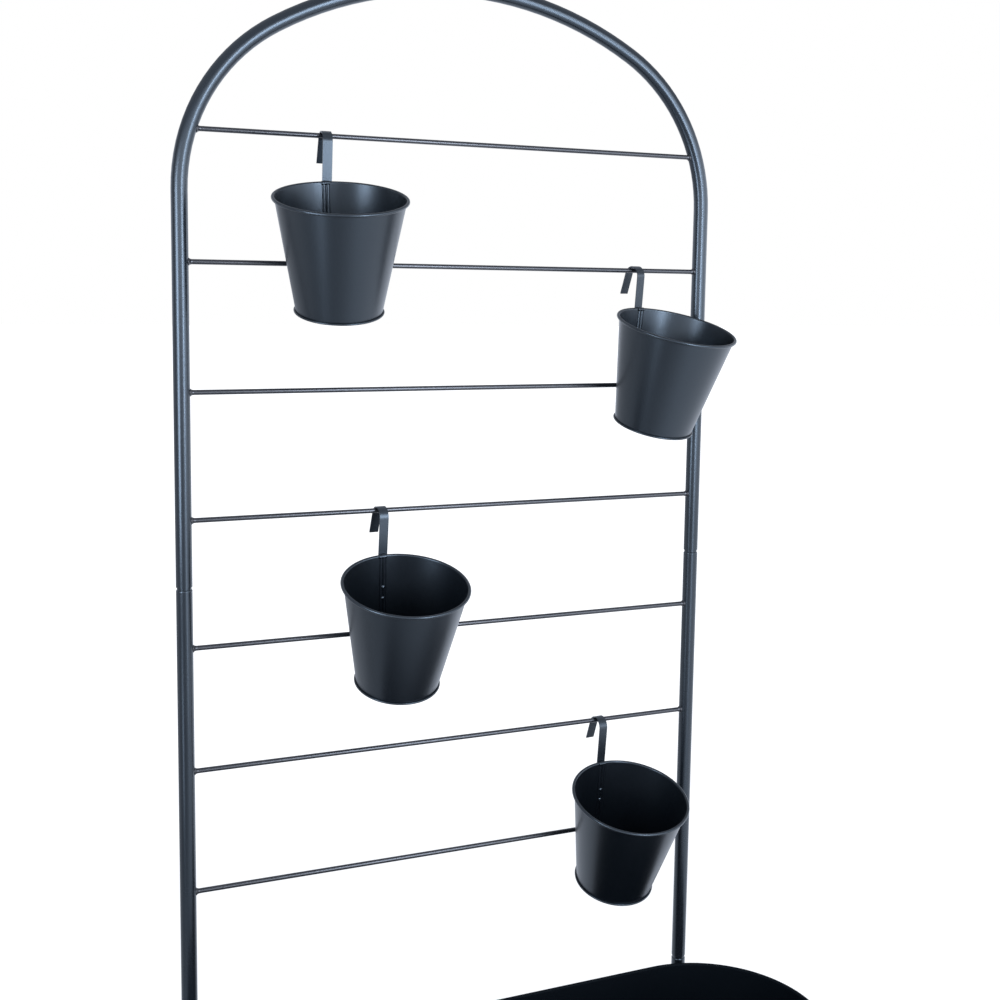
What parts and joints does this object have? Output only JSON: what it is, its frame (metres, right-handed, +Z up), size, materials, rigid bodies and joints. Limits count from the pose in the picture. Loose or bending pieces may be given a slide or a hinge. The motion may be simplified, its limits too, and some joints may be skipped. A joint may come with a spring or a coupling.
{
  "type": "plant rack",
  "caption": "Free-standing arched tube plant rack with round rungs, an oval sheet-metal tub as its base and tapered pots hung on the rungs by strap hooks.",
  "frame": {"origin": "middle of the bounding box, on the floor", "axes": "+Z up, +X along the rungs to the right as seen from the front, -Y to the front where the pots hang"},
  "size_m": [0.892, 0.343, 1.4991],
  "materials": {
    "frame_tubes": "satin anthracite powder coat on steel tube",
    "rungs": "satin anthracite powder coat on steel bar",
    "tub_wall": "satin anthracite powder coat on steel sheet",
    "tub_base": "satin anthracite powder coat on steel sheet",
    "pot_shell": "satin anthracite powder coat on steel sheet",
    "pot_base": "satin anthracite powder coat on steel sheet",
    "pot_hook": "satin anthracite powder coat on steel strap",
    "pot_rivets": "painted over with the pot",
    "fixings": "blackened steel",
    "pads": "black moulded plastic",
    "foot_plugs": "black moulded plastic"
  },
  "bodies": {
    "frame": {"arch_tube": "frame_tubes", "dome_nuts": "fixings", "foot_plugs": "foot_plugs", "head_pads": "pads", "left_stub": "frame_tubes", "left_upright": "frame_tubes", "nut_pads": "pads", "right_stub": "frame_tubes", "right_upright": "frame_tubes", "rung_1": "rungs", "rung_2": "rungs", "rung_3": "rungs", "rung_4": "rungs", "rung_5": "rungs", "rung_6": "rungs", "rung_7": "rungs", "spacer_pads": "pads", "stub_screws": "fixings", "tub_base": "tub_base", "tub_wall": "tub_wall"},
    "pot_1": {"pot_1_base": "pot_base", "pot_1_hook": "pot_hook", "pot_1_rivets": "pot_rivets", "pot_1_shell": "pot_shell"},
    "pot_2": {"pot_2_base": "pot_base", "pot_2_hook": "pot_hook", "pot_2_rivets": "pot_rivets", "pot_2_shell": "pot_shell"},
    "pot_3": {"pot_3_base": "pot_base", "pot_3_hook": "pot_hook", "pot_3_rivets": "pot_rivets", "pot_3_shell": "pot_shell"},
    "pot_4": {"pot_4_base": "pot_base", "pot_4_hook": "pot_hook", "pot_4_rivets": "pot_rivets", "pot_4_shell": "pot_shell"}
  },
  "joints": [
    {"name": "pot_1_swing", "type": "hinge", "parent": "frame", "child": "pot_1", "pos_m": [-0.1718, 0.1541, 1.305], "axis": [-1, 0, 0], "range_deg": [0, 40]},
    {"name": "pot_2_swing", "type": "hinge", "parent": "frame", "child": "pot_2", "pos_m": [0.2419, 0.1541, 1.155], "axis": [-1, 0, 0], "range_deg": [0, 40]},
    {"name": "pot_3_swing", "type": "hinge", "parent": "frame", "child": "pot_3", "pos_m": [-0.1032, 0.1541, 0.855], "axis": [-1, 0, 0], "range_deg": [0, 40]},
    {"name": "pot_4_swing", "type": "hinge", "parent": "frame", "child": "pot_4", "pos_m": [0.204, 0.1541, 0.552], "axis": [-1, 0, 0], "range_deg": [0, 40]}
  ]
}
